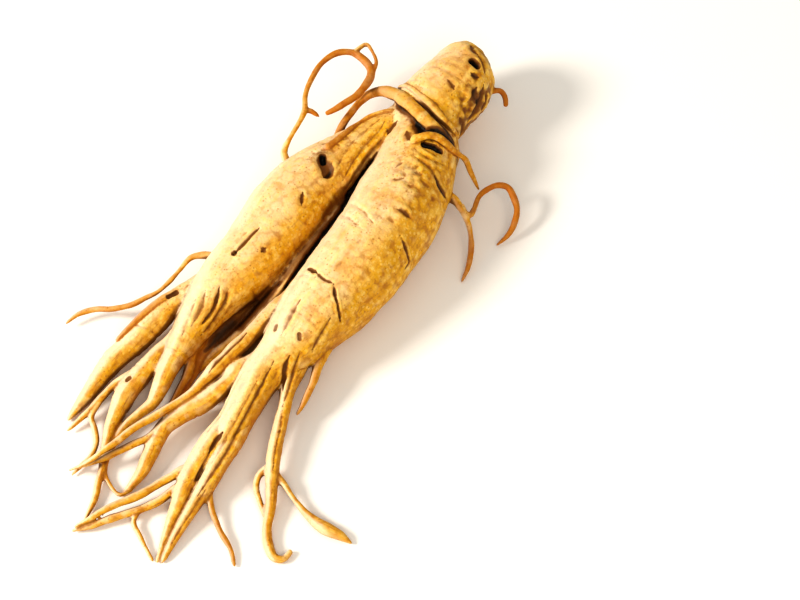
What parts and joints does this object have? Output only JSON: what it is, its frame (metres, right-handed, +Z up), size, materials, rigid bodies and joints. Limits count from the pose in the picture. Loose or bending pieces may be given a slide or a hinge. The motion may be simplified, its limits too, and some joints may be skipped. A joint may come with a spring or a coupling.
{
  "type": "ginseng root",
  "caption": "Fresh ginseng root lying on its belly, with a blunt scarred crown, a collar ring at the neck, stout legs and tapering, curling tail roots.",
  "frame": {"origin": "on the surface that the root lies on, under the middle of its bounding box", "axes": "+Z up, +Y from the tail tips to the crown along the root, +X towards the side of the thicker leg"},
  "size_m": [0.1131, 0.1983, 0.0293],
  "materials": {
    "root_skin": "satin, washed fresh root skin"
  },
  "bodies": {
    "root": {"ginseng_root": "root_skin"}
  },
  "joints": []
}
